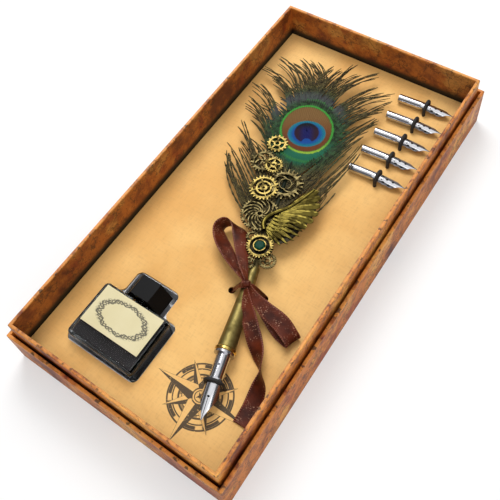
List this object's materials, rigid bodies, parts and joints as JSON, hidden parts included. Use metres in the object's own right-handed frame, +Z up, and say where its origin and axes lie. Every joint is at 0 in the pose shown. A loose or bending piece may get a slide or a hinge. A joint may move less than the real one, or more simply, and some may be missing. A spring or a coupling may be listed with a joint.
{
  "type": "quill pen gift box",
  "caption": "Open gift box with a feather quill pen carrying gear and wing charms, tied by a ribbon bow, beside a capped ink bottle and spare nibs held by elastic loops on a card insert",
  "frame": {"origin": "centre of the underside of the lid that the tray stands in", "axes": "+Z up, +Y along the box from the bottle end to the feather end, +X towards the spare nibs"},
  "size_m": [0.15, 0.2956, 0.042],
  "materials": {
    "wrap_paper": "orange-brown aged paper wrapped on grey board",
    "kraft_card": "tan kraft card with a printed compass rose",
    "clear_film": "clear thermoformed film",
    "elastic_cord": "black elastic cord",
    "bottle_glass": "clear moulded glass",
    "black_ink": "black ink, modelled as a solid",
    "label_paper": "cream paper with a black scroll border",
    "cap_plastic": "black plastic",
    "liner_foam": "white foam liner",
    "antique_brass": "antiqued brass",
    "bright_brass": "polished brass",
    "polished_steel": "polished steel",
    "quill_horn": "pale feather horn",
    "feather_barbs": "green and bronze feather barbs",
    "charm_bronze": "antiqued bronze casting",
    "green_gem": "dark green glass",
    "satin_ribbon": "dark red-brown satin"
  },
  "bodies": {
    "lid": {"lid": "wrap_paper"},
    "tray": {"tray": "wrap_paper"},
    "insert": {"insert_card": "kraft_card", "bottle_blister": "clear_film", "pen_elastic": "elastic_cord", "nib_elastic_1": "elastic_cord", "nib_elastic_2": "elastic_cord", "nib_elastic_3": "elastic_cord", "nib_elastic_4": "elastic_cord", "nib_elastic_5": "elastic_cord"},
    "bottle": {"ink_bottle": "bottle_glass", "ink": "black_ink", "bottle_label": "label_paper"},
    "liner": {"cap_liner": "liner_foam"},
    "cap": {"bottle_cap": "cap_plastic"},
    "pen": {"pen_barrel": "antique_brass", "barrel_collar": "bright_brass", "collar_washer": "polished_steel", "quill_shaft": "quill_horn", "feather_vane": "feather_barbs", "gear_top": "charm_bronze", "gear_arc": "charm_bronze", "gear_mid": "charm_bronze", "gear_large": "charm_bronze", "gear_target": "charm_bronze", "gear_swirl": "charm_bronze", "gear_ring": "charm_bronze", "gear_lower": "charm_bronze", "gear_filigree": "charm_bronze", "gear_gem": "charm_bronze", "gem_bezel": "charm_bronze", "gem": "green_gem", "wing": "charm_bronze", "ribbon_strap": "satin_ribbon", "ribbon_knot": "satin_ribbon", "ribbon_loop": "satin_ribbon", "ribbon_flat_loop": "satin_ribbon", "ribbon_tail": "satin_ribbon"},
    "pen_nib": {"pen_nib_tube": "polished_steel", "pen_nib_blade": "polished_steel"},
    "spare_nib_1": {"spare_nib_1_tube": "polished_steel", "spare_nib_1_blade": "polished_steel"},
    "spare_nib_2": {"spare_nib_2_tube": "polished_steel", "spare_nib_2_blade": "polished_steel"},
    "spare_nib_3": {"spare_nib_3_tube": "polished_steel", "spare_nib_3_blade": "polished_steel"},
    "spare_nib_4": {"spare_nib_4_tube": "polished_steel", "spare_nib_4_blade": "polished_steel"},
    "spare_nib_5": {"spare_nib_5_tube": "polished_steel", "spare_nib_5_blade": "polished_steel"}
  },
  "joints": [
    {"name": "tray_lift", "type": "slide", "parent": "lid", "child": "tray", "axis": [0, 0, 1], "range_m": [0, 0.06]},
    {"name": "insert_lift", "type": "slide", "parent": "tray", "child": "insert", "axis": [0, 0, 1], "range_m": [0, 0.045]},
    {"name": "bottle_lift", "type": "slide", "parent": "insert", "child": "bottle", "axis": [0, 0, 1], "range_m": [0, 0.04]},
    {"name": "cap_rise", "type": "slide", "parent": "bottle", "child": "liner", "axis": [0, 1, 0], "range_m": [0, 0.003]},
    {"name": "cap_turn", "type": "hinge", "parent": "liner", "child": "cap", "pos_m": [-0.02623, -0.08164, 0.0175], "axis": [0, 1, 0], "range_deg": [0, 360]},
    {"name": "pen_lift", "type": "slide", "parent": "insert", "child": "pen", "axis": [0, 0, 1], "range_m": [0, 0.03], "deforming": ["pen_elastic"]},
    {"name": "pen_nib_pull", "type": "slide", "parent": "pen", "child": "pen_nib", "axis": [0.2823, -0.9593, 0], "range_m": [0, 0.012]},
    {"name": "spare_nib_1_slide", "type": "slide", "parent": "insert", "child": "spare_nib_1", "axis": [-0.9976, -0.0698, 0], "range_m": [0, 0.02]},
    {"name": "spare_nib_2_slide", "type": "slide", "parent": "insert", "child": "spare_nib_2", "axis": [-0.9976, -0.0698, 0], "range_m": [0, 0.02]},
    {"name": "spare_nib_3_slide", "type": "slide", "parent": "insert", "child": "spare_nib_3", "axis": [-0.9976, -0.0698, 0], "range_m": [0, 0.02]},
    {"name": "spare_nib_4_slide", "type": "slide", "parent": "insert", "child": "spare_nib_4", "axis": [-0.9976, -0.0698, 0], "range_m": [0, 0.02]},
    {"name": "spare_nib_5_slide", "type": "slide", "parent": "insert", "child": "spare_nib_5", "axis": [-0.9976, -0.0698, 0], "range_m": [0, 0.02]}
  ],
  "couplings": [
    {"joint": "cap_rise", "follows": "cap_turn", "m_per_rad": 0.00047746}
  ]
}
